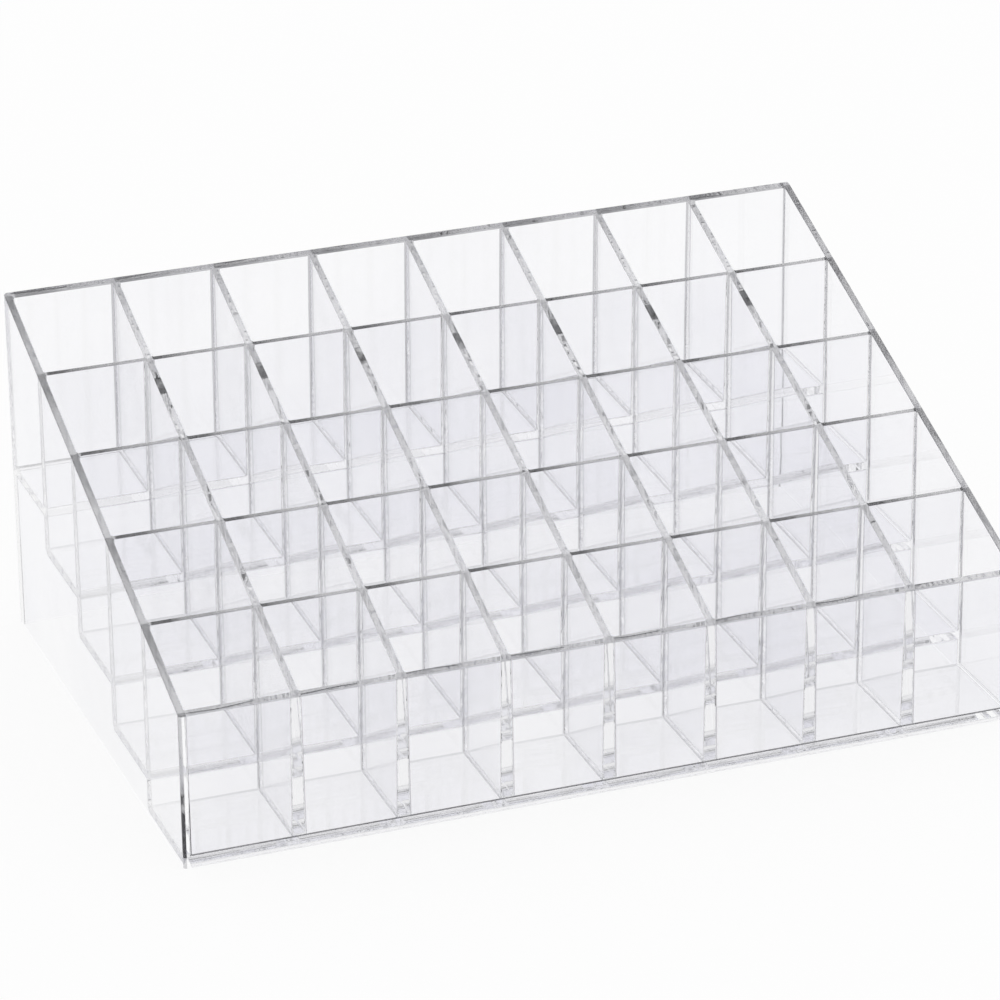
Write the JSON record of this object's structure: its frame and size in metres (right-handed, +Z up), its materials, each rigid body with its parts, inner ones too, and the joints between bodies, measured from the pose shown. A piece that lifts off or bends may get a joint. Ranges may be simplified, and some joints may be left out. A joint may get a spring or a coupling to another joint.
{
  "type": "lipstick organizer",
  "caption": "Clear open-topped desktop organizer with square upright cells in stepped rows, under a rim that slopes down to the front.",
  "frame": {"origin": "middle of the rectangle that the walls stand on, at the surface below", "axes": "+X to the right along the columns' rim seen from the front, +Y from the low front wall to the high back wall, +Z up"},
  "size_m": [0.232, 0.1548, 0.0988],
  "materials": {
    "clear_plastic": "clear, polished, very slightly lavender-grey in depth"
  },
  "bodies": {
    "root": {"front_wall": "clear_plastic", "back_wall": "clear_plastic", "left_wall": "clear_plastic", "right_wall": "clear_plastic", "floor_row_1": "clear_plastic", "floor_row_2": "clear_plastic", "floor_row_3": "clear_plastic", "floor_row_4": "clear_plastic", "floor_row_5": "clear_plastic", "cross_panel_1": "clear_plastic", "cross_panel_2": "clear_plastic", "cross_panel_3": "clear_plastic", "cross_panel_4": "clear_plastic", "long_divider_1": "clear_plastic", "long_divider_2": "clear_plastic", "long_divider_3": "clear_plastic", "long_divider_4": "clear_plastic", "long_divider_5": "clear_plastic", "long_divider_6": "clear_plastic", "long_divider_7": "clear_plastic"}
  },
  "joints": []
}
